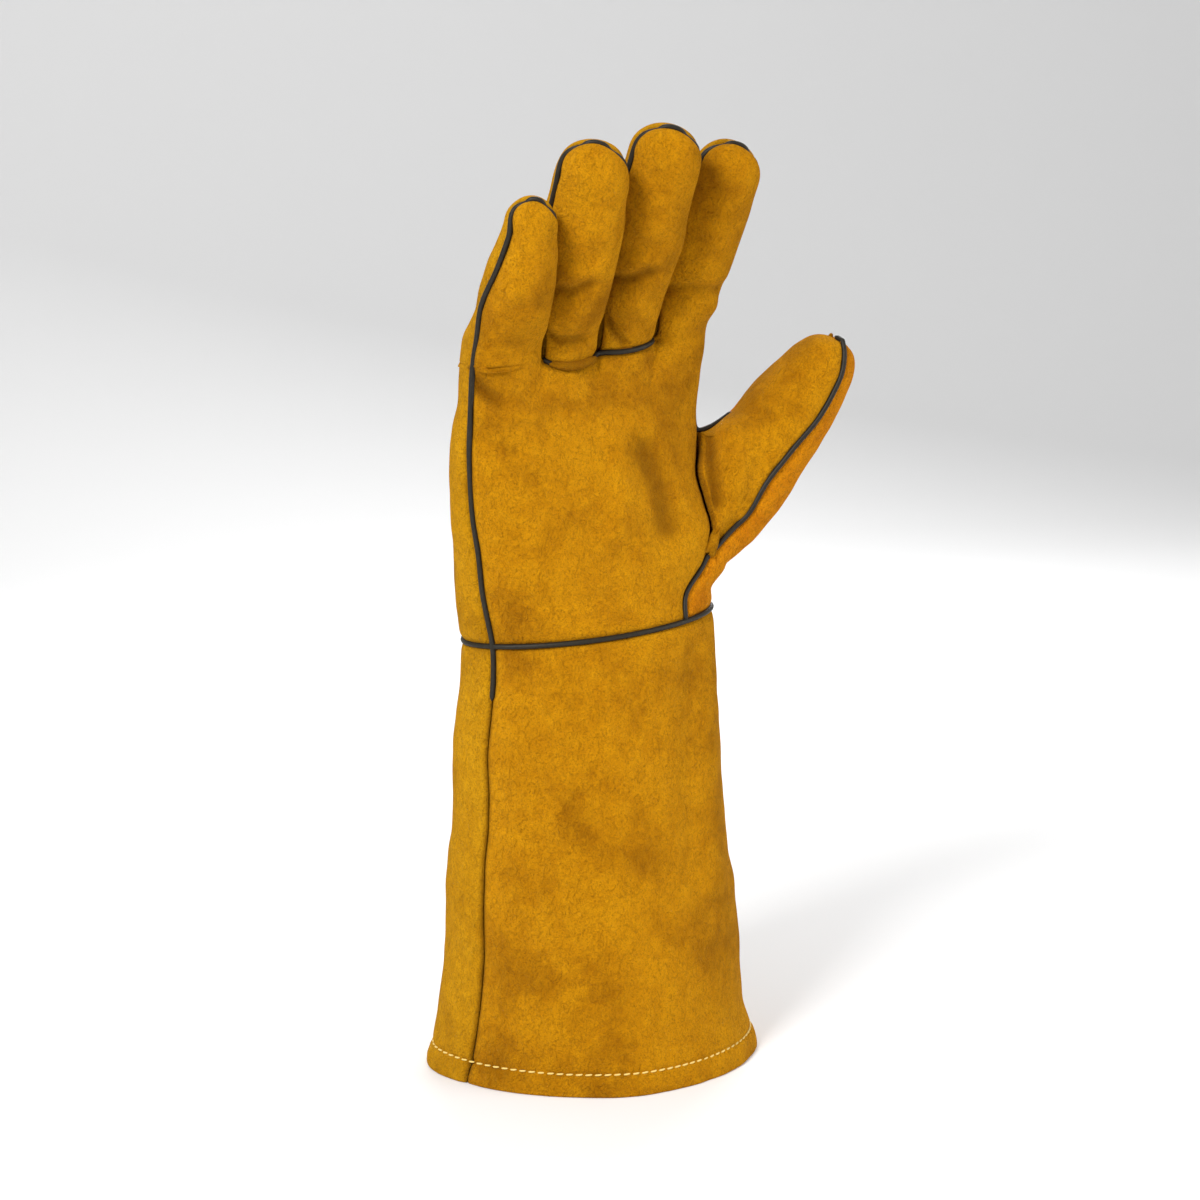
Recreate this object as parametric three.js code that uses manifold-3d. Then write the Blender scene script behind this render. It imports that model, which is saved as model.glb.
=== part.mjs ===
import * as THREE from 'three';
import Module from 'manifold-3d';

// Welding gauntlet for the right hand, standing on its hem, millimetres.
// +X runs to the thumb, -Y is the palm side, +Z runs to the fingertips.

// Leather and seams
const LEATHER = 2.0;
const HEM_LEATHER = 3.0;
const HEM_HEIGHT = 9.0;
const PLAIN_GAP = 0.5;
const CLEFT_GAP = 0.6;
const WELT_WIDTH = 2.5;
const WELT_PROUD = 1.2;
const WELT_CLEAR = 0.5;
const WELT_SINK = 1.5;
const SEAM_CLEAR = 0.35;
const CLEFT_SLOT = 7.0;
const CLEFT_RADIUS = 2.0;

// Grid of the surface
const FINGER_COLUMNS = 5;
const THUMB_COLUMNS = 6;
const TIP_STEPS = [0.42, 0.72, 0.92, 1];

// Cross-sections from the hem to the finger roots
// z, centre x y, half-width to the little-finger side and to the thumb side, depth to the palm side
// and to the back, corner exponent, turn about Z, sideways tilt, forward cup of the two sides,
// angles of the side seam, the palm's thumb-side edge and the back panel's thumb-side edge
const SECTION_COLUMNS = ['z', 'cx', 'cy', 'little', 'thumb', 'palm', 'back', 'power', 'turn', 'tilt',
  'cupLittle', 'cupThumb', 'sideSeam', 'palmEdge', 'backEdge'];
const SECTION_TABLE = [
  [0, 1.0, 0, 73, 72, 56, 56, 1.15, 0, 0, 0, 0, -62, 43, 113],
  [HEM_HEIGHT, 1.2, 0, 71, 69, 54.5, 54.5, 1.15, 0, 0, 0, 0, -62, 43, 113],
  [20, 1.2, 0, 69, 65, 53, 53, 1.13, 0, 0, 0, 0, -62, 43, 113],
  [36, 0.4, 0, 66.5, 64, 51, 51, 1.12, 0, 0, 0, 0, -61, 42, 113],
  [54, -0.2, 0, 64, 63.5, 49, 49, 1.11, 0, 0, 0, 0, -61, 42, 113],
  [72, -1.0, 0, 63.5, 61.5, 47, 47, 1.1, 0, 0, 0, 0, -61, 42, 113],
  [90, -2.0, 0, 61.5, 59.5, 45, 45, 1.09, 0, 0.01, 0, 0, -61, 41, 113],
  [107, -2.6, 0, 59, 58, 43, 43, 1.08, 0, 0.02, 0, 0, -61, 41, 113],
  [124, -3.6, 0, 58, 57, 41.5, 41.5, 1.07, 1, 0.03, 0, 0, -61, 40, 113],
  [141, -4.4, 0, 57.5, 56.5, 40, 40, 1.06, 1, 0.05, 0, 0, -61, 40, 113],
  [158, -4.6, 0, 55.5, 55, 38, 38, 1.05, 2, 0.07, 0, 0, -62, 39, 114],
  [174, -4.6, 0, 54.5, 54.5, 36, 36, 1.05, 3, 0.09, 0, 0, -62, 38, 114],
  [188, -4.8, 0, 55, 55, 34, 35, 1.05, 4, 0.1, 0, 0, -62, 38, 115],
  [199, -6.0, 0, 56, 55, 32, 34, 1.04, 6, 0.09, 1, 0, -64, 40, 115],
  [210, -7.5, 0, 56.5, 64, 31, 33, 1.02, 8, 0.07, 2, 0, -67, 46, 116],
  [224, -9.0, 0, 56.5, 68, 30, 31, 1.0, 10, 0.05, 3, 0, -70, 50, 117],
  [238, -10.5, 0, 57, 66, 29, 30, 1.0, 11, 0.03, 4, 0, -73, 50, 114],
  [252, -11.5, 0, 58, 60, 27, 29, 1.0, 12, 0.02, 6, 0, -74, 56, 104],
  [266, -12.0, 0, 59.5, 57, 25, 28, 1.0, 13, 0.01, 8, 0, -74, 77, 77],
  [276, -12.0, 0, 60.5, 57, 23, 27, 1.0, 14, 0.01, 9, 0, -74, 80, 80],
  [285, -11.8, 0, 61, 58, 21, 26, 1.0, 14, 0.01, 10, 0, -74, 84, 84],
  [292, -11.5, 0, 61, 59, 20, 25, 1.0, 14, 0.01, 10, 0, -74, 87, 87],
  [298, -11.0, 0, 61, 60, 19, 24, 1.0, 14, 0.01, 10, 0, -74, 90, 90],
];

// Rows of the hand by section height; the two inner marks are the foot and the crotch of the thumb
const HAND_HEIGHTS = [188, 196, 204, 213, 224, 238, 252, 266, 276, 285, 293, 301];
const THUMB_FOOT = 3;
const THUMB_CROTCH = 7;
const ROOT_BLEND_FROM = 7;

// Where neighbouring fingers meet: across the knuckles, forward of them, height
const CROTCH_COLUMNS = ['across', 'forward', 'z'];
const CROTCH_TABLE = [
  [-58.5, 15, 298],
  [-27, 16, 300],
  [0, 14, 302],
  [29, 11, 306],
  [58, 3, 306],
];
const KNUCKLE_TURN = 14;
const KNUCKLE_CENTRE = [-11, 0];

// Fingers: length from the root row to the tip, tip length, half-widths above the root, at the middle and
// at the tip, depths of the root's front and back, sag of the root line, half-depths at the middle and tip, sideways lean and forward curl at the root and beyond the bend, roll of the whole
// finger and turn of its seams to the palm side
const FINGER_COLUMNS_NAMED = ['name', 'length', 'tip', 'lowWidth', 'midWidth', 'tipWidth', 'rootFront', 'rootBack', 'rootSag',
  'midDepth', 'tipDepth', 'leanRoot', 'leanTip', 'curlRoot', 'curlTip', 'roll', 'seamTurn'];
const FINGER_TABLE = [
  ['little', 68, 11, 15, 14, 10.5, 6, 25, 0, 13, 10, 0, -1, 10, 23, -30, 42],
  ['ring', 88, 13, 13.2, 16, 14.5, 5.5, 37, 4.5, 12, 11, -3, -3, 8, 21, -32, 22],
  ['middle', 92, 13, 13.2, 16, 14.5, 7, 35, 1.5, 12, 11, 1, 1, 8, 23, -30, 22],
  ['index', 83, 13, 13.5, 16, 14, 9, 23, 0, 12, 11, 4, 9, 8, 22, -24, 20],
];
const FINGER_ROWS = 8;
const FINGER_CROWN = 3.2;
const TIP_FORWARD = 3;

// Thumb by row: centre, half-width along its outer seam, depth to the palm side and to the back, and how
// far round the front and the back reach from the outer seam
const THUMB_COLUMNS_NAMED = ['row', 'x', 'y', 'z', 'width', 'front', 'back', 'frontSpan', 'backSpan'];
const THUMB_TABLE = [
  [3, 48, -6, 214, 8, 6, 10, 90, 200],
  [4, 55, 4, 224, 12, 8, 14, 90, 200],
  [5, 61, 6, 236, 15, 12, 18, 90, 205],
  [6, 67, 8, 246.5, 17, 16, 20, 96, 220],
  [7, 72, 9, 255.5, 19, 18, 20, 106, 254],
  [8, 78, 9, 265, 19.5, 18.5, 20, 124, 236],
  [9, 84, 8, 273.5, 19, 18, 19, 142, 218],
  [10, 90, 6, 281.5, 17.5, 17, 17.5, 158, 202],
  [11, 95, 4, 289, 15.5, 15.5, 16, 172, 188],
  [12, 99, 2, 296, 13, 13, 13.5, 180, 180],
  [13, 101.5, 0, 302, 9, 9, 9, 180, 180],
  [14, 103, -1, 306, 4, 0, 0, 180, 180],
];
const THUMB_SEAM_TURN = 74;
const THUMB_BLEND = 0.8;

const rad = THREE.MathUtils.degToRad;
const add = (a, b, k = 1) => [a[0] + k * b[0], a[1] + k * b[1], a[2] + k * b[2]];
const sub = (a, b) => add(a, b, -1);
const times = (a, k) => [a[0] * k, a[1] * k, a[2] * k];
const mix = (a, b, k) => add(times(a, 1 - k), b, k);
const dot = (a, b) => a[0] * b[0] + a[1] * b[1] + a[2] * b[2];
const cross = (a, b) => [
  a[1] * b[2] - a[2] * b[1], a[2] * b[0] - a[0] * b[2], a[0] * b[1] - a[1] * b[0]];
const size = (a) => Math.sqrt(dot(a, a));
const unit = (a) => times(a, 1 / (size(a) || 1));
const smooth = (t) => {
  const k = Math.min(Math.max(t, 0), 1);
  return k * k * (3 - 2 * k);
};
const named = (columns, row) => Object.fromEntries(columns.map((name, i) => [name, row[i]]));
const signedPower = (v, p) => Math.sign(v) * Math.abs(v) ** p;

// A smooth curve through the values of one column, at any key
function through(rows, key, column, at) {
  const last = rows.length - 1;
  let i = 0;
  while (i < last - 1 && at > rows[i + 1][key]) i += 1;
  const slope = (j) => {
    const before = rows[Math.max(j - 1, 0)];
    const after = rows[Math.min(j + 1, last)];
    return (after[column] - before[column]) / (after[key] - before[key]);
  };
  const width = rows[i + 1][key] - rows[i][key];
  const t = (at - rows[i][key]) / width;
  const a = rows[i][column];
  const b = rows[i + 1][column];
  return a * (1 - t) ** 2 * (1 + 2 * t) + b * t * t * (3 - 2 * t)
    + slope(i) * width * t * (1 - t) ** 2 - slope(i + 1) * width * t * t * (1 - t);
}

const SECTIONS = SECTION_TABLE.map((row) => named(SECTION_COLUMNS, row));
const sectionAt = (z) => Object.fromEntries(SECTION_COLUMNS.map(
  (column) => [column, column === 'z' ? z : through(SECTIONS, 'z', column, z)]));

// Point of a section at an angle: 0 faces the palm side, 90 the thumb side, 180 the back
function onSection(s, angle) {
  const side = Math.sin(rad(angle));
  const face = Math.cos(rad(angle));
  const across = (side < 0 ? s.little : s.thumb) * signedPower(side, s.power);
  const cup = (side < 0 ? s.cupLittle : s.cupThumb) * side * side;
  const forward = (face > 0 ? s.palm : s.back) * signedPower(face, s.power) + cup;
  const c = Math.cos(rad(s.turn));
  const n = Math.sin(rad(s.turn));
  return [s.cx + across * c + forward * n, s.cy + across * n - forward * c, s.z + s.tilt * across];
}

// Arc from one seam point to another, bulging along a direction
function arc(from, to, bulge, depth, t) {
  const angle = 0.5 * (Math.PI * t + Math.acos(1 - 2 * t));
  const middle = mix(from, to, 0.5);
  const half = times(sub(to, from), 0.5);
  return add(add(middle, half, -Math.cos(angle)), bulge, depth * Math.sin(angle));
}

// Shared surface points, so that neighbouring pieces meet in the same points
const points = [];
const known = new Map();
function point(p) {
  const key = p.map((v) => Math.round(v * 1e3)).join(' ');
  if (!known.has(key)) {
    known.set(key, points.length);
    points.push(p);
  }
  return known.get(key);
}

const grid = (rows, columns, at) => Array.from({ length: rows + 1 },
  (_, i) => Array.from({ length: columns + 1 }, (_, j) => point(at(i, j))));

const panels = new Map();
function addCells(name, ids, flip = false) {
  const cells = panels.get(name) ?? [];
  for (let i = 0; i + 1 < ids.length; i += 1) {
    for (let j = 0; j + 1 < ids[i].length; j += 1) {
      const around = [ids[i][j], ids[i][j + 1], ids[i + 1][j + 1], ids[i + 1][j]];
      const cell = around.filter((id, k) => id !== around[(k + 1) % 4]);
      if (cell.length > 2) cells.push(flip ? cell.reverse() : cell);
    }
  }
  panels.set(name, cells);
}

// Seams: gap on each side by the two ends of an edge
const seamGaps = new Map();
const edgeKey = (a, b) => (a < b ? `${a} ${b}` : `${b} ${a}`);
function markSeam(ids, gap) {
  ids.slice(1).forEach((id, i) => seamGaps.set(edgeKey(ids[i], id), gap));
}

// Knuckle frame and crotches
const knuckleAcross = [Math.cos(rad(KNUCKLE_TURN)), Math.sin(rad(KNUCKLE_TURN)), 0];
const knuckleForward = [Math.sin(rad(KNUCKLE_TURN)), -Math.cos(rad(KNUCKLE_TURN)), 0];
const crotches = CROTCH_TABLE.map((row) => {
  const c = named(CROTCH_COLUMNS, row);
  const p = [...KNUCKLE_CENTRE, c.z];
  return add(add(p, knuckleAcross, c.across), knuckleForward, c.forward);
});
const fingers = FINGER_TABLE.map((row) => named(FINGER_COLUMNS_NAMED, row));

// Root arc of a finger on its front or back
function rootArc(k, back, t) {
  const from = back ? crotches[k + 1] : crotches[k];
  const to = back ? crotches[k] : crotches[k + 1];
  const half = unit(sub(to, from));
  const out = unit(cross(half, [0, 0, 1]));
  const sag = back ? 0 : fingers[k].rootSag * Math.sin(Math.PI * t);
  return add(arc(from, to, out, back ? fingers[k].rootBack : fingers[k].rootFront, t), [0, 0, -sag]);
}

// Hand rows: plain sections low down, melting into the four finger roots at the top
const groups = fingers.length;
const handColumns = groups * FINGER_COLUMNS;
const crotchAngles = CROTCH_TABLE.map((row, k) => {
  const top = sectionAt(HAND_HEIGHTS[HAND_HEIGHTS.length - 1]);
  const share = row[0] / (row[0] < 0 ? top.little : top.thumb);
  const angle = THREE.MathUtils.radToDeg(Math.asin(Math.max(Math.min(share, 1), -1)));
  return k === 0 ? top.sideSeam : k === groups ? top.palmEdge : angle;
});
const rootWeight = (i) => smooth((i - ROOT_BLEND_FROM) / (HAND_HEIGHTS.length - 1 - ROOT_BLEND_FROM));
function handPoint(i, j, back) {
  const s = sectionAt(HAND_HEIGHTS[i]);
  const top = sectionAt(HAND_HEIGHTS[HAND_HEIGHTS.length - 1]);
  const k = Math.min(Math.floor(j / FINGER_COLUMNS), groups - 1);
  const t = j / FINGER_COLUMNS - k;
  const from = crotchAngles[k];
  const to = crotchAngles[k + 1];
  const topAngle = from + (to - from) * t;
  const share = (topAngle - top.sideSeam) / (top.palmEdge - top.sideSeam);
  const start = back ? s.backEdge : s.sideSeam;
  const end = back ? s.sideSeam + 360 : s.palmEdge;
  const angle = back ? end - (end - start) * share : start + (end - start) * share;
  const plain = onSection(s, angle);
  const inside = smooth(Math.min(j, handColumns - j) / FINGER_COLUMNS);
  const weight = rootWeight(i) ** (back ? 1 : 1 + 0.7 * inside);
  if (weight === 0) return plain;
  return mix(plain, rootArc(k, back, back ? 1 - t : t), weight);
}

const handRows = HAND_HEIGHTS.length - 1;
const palmIds = grid(handRows, handColumns, (i, j) => handPoint(i, j, false));
const backIds = grid(handRows, handColumns, (i, j) => handPoint(i, handColumns - j, true));
addCells('palm_panel', palmIds);
addCells('back_panel', backIds);

// Fingers
function fingerRows(finger) {
  const straight = finger.length - finger.tip;
  const rows = [];
  for (let i = 0; i <= FINGER_ROWS; i += 1) rows.push(straight * i / FINGER_ROWS);
  TIP_STEPS.forEach((step) => rows.push(straight + finger.tip * step));
  return rows;
}

function fingerSpine(k) {
  const finger = fingers[k];
  const stations = fingerRows(finger);
  const from = crotches[k];
  const to = crotches[k + 1];
  let place = mix(from, to, 0.5);
  let before = 0;
  return stations.map((along) => {
    const t = along / finger.length;
    const lean = rad(finger.leanRoot + (finger.leanTip - finger.leanRoot) * t);
    const curl = rad(finger.curlRoot + (finger.curlTip - finger.curlRoot) * smooth(t * 1.6));
    let axis = times([0, 0, 1], Math.cos(curl) * Math.cos(lean));
    axis = add(axis, knuckleAcross, Math.sin(lean));
    axis = unit(add(axis, knuckleForward, Math.sin(curl)));
    place = add(place, axis, along - before);
    before = along;
    const roll = rad(finger.roll * smooth(along / 28));
    const flat = unit(sub(knuckleAcross, times(axis, dot(knuckleAcross, axis))));
    const face = cross(flat, axis);
    const across = add(times(flat, Math.cos(roll)), face, -Math.sin(roll));
    const rootHalf = times(sub(to, from), 0.5);
    const turn = smooth(along / 22);
    const side = unit(mix(unit(rootHalf), across, turn));
    const straight = finger.length - finger.tip;
    const end = Math.max(0, (along - straight) / finger.tip);
    const body = Math.min(along / straight, 1);
    const rootWidth = size(rootHalf);
    const widths = [
      { at: 0, half: rootWidth }, { at: 0.2, half: finger.lowWidth }, { at: 0.6, half: finger.midWidth },
      { at: 1, half: finger.tipWidth }];
    const width = through(widths, 'at', 'half', body) * (0.38 + 0.62 * Math.sqrt(1 - end ** 2.4));
    const deep = (root) => (body < 0.5
      ? root + (finger.midDepth - root) * smooth(body * 2)
      : finger.midDepth + (finger.tipDepth - finger.midDepth) * smooth(body * 2 - 1))
      * Math.sqrt(1 - end * end);
    const seamTurn = finger.seamTurn * smooth(along / 45) * (1 - end);
    return { place, axis, side, end, width, seamTurn, front: deep(finger.rootFront), back: deep(finger.rootBack) };
  });
}

const spines = fingers.map((_, k) => fingerSpine(k));
function fingerPoint(k, i, j, back) {
  const t = j / FINGER_COLUMNS;
  if (i === 0) return rootArc(k, back, t);
  const s = spines[k][i];
  const angle = rad(s.seamTurn) + Math.PI * (back ? 1 + t : t);
  const face = cross(s.side, s.axis);
  const nod = times(face, TIP_FORWARD * s.end ** 2);
  const deep = Math.sin(angle) > 0 ? s.front : s.back;
  const crown = times(s.axis, FINGER_CROWN * s.end ** 2 * Math.sin(Math.PI * t));
  const flat = add(add(s.place, s.side, -s.width * Math.cos(angle)), face, deep * Math.sin(angle));
  return add(add(flat, crown), nod);
}

const fingerRowCount = FINGER_ROWS + TIP_STEPS.length;
const FRONT_PANEL = ['palm_panel', 'ring_finger_front', 'middle_finger_front', 'palm_panel'];
const fingerFront = fingers.map((_, k) => grid(fingerRowCount, FINGER_COLUMNS,
  (i, j) => fingerPoint(k, i, j, false)));
const fingerBack = fingers.map((_, k) => grid(fingerRowCount, FINGER_COLUMNS,
  (i, j) => fingerPoint(k, i, j, true)));
fingers.forEach((_, k) => {
  addCells(FRONT_PANEL[k], fingerFront[k]);
  addCells('back_panel', fingerBack[k]);
});

// Thumb
const thumbKeys = THUMB_TABLE.map((row) => named(THUMB_COLUMNS_NAMED, row));
const thumbTop = thumbKeys[thumbKeys.length - 1].row;
const column = (ids, j) => ids.map((row) => row[j < 0 ? row.length + j : j]);
const palmRight = column(palmIds, -1);
const backRight = column(backIds, 0);
const keyOf = (i) => thumbKeys[i - THUMB_FOOT];
const thumbCentre = (i) => [keyOf(i).x, keyOf(i).y, keyOf(i).z];
const thumbAxis = (i) => unit(sub(
  thumbCentre(Math.min(i + 1, thumbTop)), thumbCentre(Math.max(i - 1, THUMB_FOOT))));
function onThumb(i, degrees) {
  const axis = thumbAxis(i);
  const right = unit(sub([1, 0, 0], times(axis, axis[0])));
  const forward = cross(right, axis);
  const turn = rad(THUMB_SEAM_TURN);
  const reach = add(times(right, Math.cos(turn)), forward, Math.sin(turn));
  const out = cross(reach, axis);
  const key = keyOf(i);
  const rise = Math.sin(rad(degrees));
  const place = add(thumbCentre(i), reach, key.width * Math.cos(rad(degrees)));
  return add(place, out, (rise > 0 ? key.front : key.back) * rise);
}
const outerPoint = (i) => (i <= THUMB_FOOT ? points[palmRight[i]] : onThumb(i, 0));
const innerPoint = (i, back) => (i <= THUMB_CROTCH
  ? points[(back ? backRight : palmRight)[i]] : onThumb(i, keyOf(i).frontSpan));
function thumbPoint(i, t, back) {
  const s = sectionAt(HAND_HEIGHTS[Math.min(i, handRows)]);
  const low = onSection(s, s.palmEdge + (s.backEdge - s.palmEdge) * t);
  if (i === 0) return low;
  const row = Math.max(i, THUMB_FOOT);
  const key = keyOf(row);
  const start = back ? 0 : key.frontSpan;
  const end = back ? -key.backSpan : 0;
  const from = back ? outerPoint(i) : innerPoint(i, false);
  const to = back ? innerPoint(i, true) : outerPoint(i);
  let place = onThumb(row, start + (end - start) * t);
  place = add(place, sub(from, onThumb(row, start)), smooth(1 - t / THUMB_BLEND));
  place = add(place, sub(to, onThumb(row, end)), smooth(1 - (1 - t) / THUMB_BLEND));
  if (!back && i === THUMB_FOOT) return from;
  return i <= THUMB_FOOT ? mix(low, place, i / (THUMB_FOOT + 1)) : place;
}
const thumbFront = grid(thumbTop - THUMB_FOOT, THUMB_COLUMNS,
  (i, j) => thumbPoint(i + THUMB_FOOT, j / THUMB_COLUMNS, false));
const thumbBack = grid(thumbTop, THUMB_COLUMNS, (i, j) => thumbPoint(i, j / THUMB_COLUMNS, true));
addCells('thumb_front', thumbFront);
addCells('thumb_back', thumbBack);

// Cuff: the same columns as the hand above it
const CUFF_HEIGHTS = [0, HEM_HEIGHT - 1, HEM_HEIGHT, 20, 36, 54, 72, 90, 107, 124, 141, 158, 174, 188];
const wristTop = sectionAt(188);
const topAngles = (back) => {
  const share = (j) => {
    const top = sectionAt(HAND_HEIGHTS[HAND_HEIGHTS.length - 1]);
    const k = Math.min(Math.floor(j / FINGER_COLUMNS), groups - 1);
    const t = j / FINGER_COLUMNS - k;
    const angle = crotchAngles[k] + (crotchAngles[k + 1] - crotchAngles[k]) * t;
    return (angle - top.sideSeam) / (top.palmEdge - top.sideSeam);
  };
  return Array.from({ length: handColumns + 1 }, (_, j) => (back ? 1 - share(handColumns - j) : share(j)));
};
function cuffPoint(z, from, to, share) {
  const s = sectionAt(z);
  return onSection(s, s[from] + (s[to] + (to === 'sideSeam' ? 360 : 0) - s[from]) * share);
}
const frontShares = topAngles(false);
const backShares = topAngles(true);
const thumbShares = Array.from({ length: THUMB_COLUMNS + 1 }, (_, j) => j / THUMB_COLUMNS);
const cuffGrid = (from, to, shares) => grid(CUFF_HEIGHTS.length - 1, shares.length - 1,
  (i, j) => cuffPoint(CUFF_HEIGHTS[i], from, to, shares[j]));
const cuffPalm = cuffGrid('sideSeam', 'palmEdge', frontShares);
const cuffThumb = cuffGrid('palmEdge', 'backEdge', thumbShares);
const cuffBack = cuffGrid('backEdge', 'sideSeam', backShares);
addCells('cuff_front', cuffPalm);
addCells('cuff_front', cuffThumb);
addCells('cuff_back', cuffBack);

// Seam lines
const up = (ids) => [...ids];
const down = (ids) => [...ids].reverse();
const tipLine = (k) => fingerFront[k][fingerRowCount];
const leftLine = (k) => column(fingerFront[k], 0);
const rightLine = (k) => column(fingerFront[k], -1);
const overTip = (k, low, lowRight = low) => [
  ...up(leftLine(k)).slice(low), ...tipLine(k).slice(1), ...down(rightLine(k)).slice(1, lowRight ? -lowRight : undefined)];
const wristLine = [...palmIds[0], ...thumbBack[0].slice(1), ...backIds[0].slice(1)];
const WELT_ROOM = WELT_WIDTH + WELT_CLEAR;
const wristRing = [...wristLine.slice(0, -1), wristLine[0]];
const WELTS = {
  side_welt: {
    line: [...column(cuffPalm, 0).slice(-3), ...column(palmIds, 0).slice(1), ...overTip(0, 1, 9)],
  },
  ring_tip_welt: { line: overTip(1, 5, 8) },
  middle_tip_welt: { line: overTip(2, 5, 8) },
  index_welt: {
    line: [
      ...overTip(3, 5, 0).slice(0, -1), ...down(palmRight).slice(0, handRows - THUMB_CROTCH + 1),
      column(thumbFront, 0)[THUMB_CROTCH - THUMB_FOOT + 1]],
  },
  finger_base_welt: {
    line: [...fingerFront[1][0], ...fingerFront[2][0].slice(1)], from: 1.5 * WELT_ROOM, to: 1.5 * WELT_ROOM,
  },
  thumb_welt: {
    line: [...palmRight.slice(0, THUMB_FOOT), ...column(thumbFront, -1), ...down(thumbFront.at(-1)).slice(1, 4)],
    from: WELT_ROOM,
  },
  wrist_welt: { line: wristRing, from: WELT_ROOM, to: WELT_ROOM },
};

const group = new THREE.Group();
group.name = 'welding_gauntlet';
export { points, panels, WELTS, spines, thumbCentre, thumbKeys };

// Outward direction at every shared point
const normals = points.map(() => [0, 0, 0]);
panels.forEach((cells) => cells.forEach((cell) => {
  const corners = cell.map((id) => points[id]);
  let area = [0, 0, 0];
  corners.forEach((p, k) => { area = add(area, cross(p, corners[(k + 1) % corners.length])); });
  cell.forEach((id) => { normals[id] = add(normals[id], area); });
}));
normals.forEach((n, id) => { normals[id] = unit(n); });

// At a crotch the leather lies across the cleft, so its outward direction is up the cleft
const thumbCrotchPoint = palmRight[THUMB_CROTCH];
const crotchPoints = [...[1, 2, 3].map((k) => fingerFront[k][0][0]), thumbCrotchPoint];
crotchPoints.forEach((id) => { normals[id] = id === thumbCrotchPoint ? unit([0.3, -0.1, 0.95]) : [0, 0, 1]; });

const weltGap = WELT_WIDTH / 2 + WELT_CLEAR;
Object.values(WELTS).forEach(({ line }) => markSeam(line, weltGap));
fingers.forEach((_, k) => {
  if (k > 0) markSeam(leftLine(k).slice(0, 2), CLEFT_GAP);
  if (k < groups - 1) markSeam(rightLine(k).slice(0, 2), CLEFT_GAP);
});

const pointGaps = new Map(crotchPoints.map((id) => [id, weltGap + CLEFT_GAP]));

// Leather panel: outer skin, inner skin, and edges drawn back from every seam
function panelSolid(name) {
  const cells = panels.get(name);
  const edges = new Map();
  cells.forEach((cell) => cell.forEach((id, k) => {
    const next = cell[(k + 1) % cell.length];
    edges.set(`${id} ${next}`, [id, next]);
  }));
  const border = [...edges.values()].filter(([a, b]) => !edges.has(`${b} ${a}`));
  const facing = new Map();
  cells.forEach((cell) => {
    const corners = cell.map((id) => points[id]);
    const area = corners.reduce((sum, p, k) => add(sum, cross(p, corners[(k + 1) % corners.length])), [0, 0, 0]);
    cell.forEach((id) => facing.set(id, add(facing.get(id) ?? [0, 0, 0], area)));
  });
  const shifts = new Map();
  border.forEach(([a, b]) => {
    const gap = seamGaps.get(edgeKey(a, b)) ?? (points[a][2] < 0.01 && points[b][2] < 0.01 ? 0 : PLAIN_GAP / 2);
    const along = unit(sub(points[b], points[a]));
    [a, b].forEach((id) => {
      const inward = unit(cross(facing.get(id), along));
      const list = shifts.get(id) ?? [];
      list.push({ inward, gap: Math.max(gap, pointGaps.get(id) ?? 0), away: id === a ? along : times(along, -1) });
      shifts.set(id, list);
    });
  });
  const moved = (id) => {
    const list = shifts.get(id);
    if (!list) return [0, 0, 0];
    const [p, q = p] = list;
    const c = dot(p.inward, q.inward);
    if (c > 0.85) return times(unit(add(p.inward, q.inward)), Math.max(p.gap, q.gap) / Math.sqrt((1 + c) / 2));
    if (c < -0.5) {
      const away = unit(add(p.away, q.away));
      const rise = dot(add(p.inward, q.inward), away);
      const gap = Math.max(p.gap, q.gap);
      const sharp = Math.max(dot(p.inward, away), 0.25);
      return times(away, rise > 0 ? gap / sharp : -gap);
    }
    const k = Math.max(1 - c * c, 0.12);
    return add(times(p.inward, (p.gap - q.gap * c) / k), q.inward, (q.gap - p.gap * c) / k);
  };
  const apart = (id) => (pointGaps.has(id) ? times(unit(facing.get(id)), CLEFT_GAP) : [0, 0, 0]);
  const used = [...new Set(cells.flat())];
  const place = new Map(used.map((id, k) => [id, k]));
  const outer = used.map((id) => add(add(points[id], moved(id)), apart(id)));
  const inner = used.map((id, k) => {
    const deep = points[id][2] < HEM_HEIGHT - 0.5 ? HEM_LEATHER : LEATHER;
    const p = add(outer[k], normals[id], -deep);
    return points[id][2] < 0.01 ? [p[0], p[1], 0] : p;
  });
  const position = [...outer, ...inner];
  const index = [];
  const fan = (ids) => { for (let k = 1; k + 1 < ids.length; k += 1) index.push(ids[0], ids[k], ids[k + 1]); };
  cells.forEach((cell) => {
    const ids = cell.map((id) => place.get(id));
    fan(ids);
    fan(ids.map((id) => id + used.length).reverse());
  });
  border.forEach(([a, b]) => {
    const p = place.get(a);
    const q = place.get(b);
    fan([p, p + used.length, q + used.length, q]);
  });
  return { position, index };
}

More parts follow.
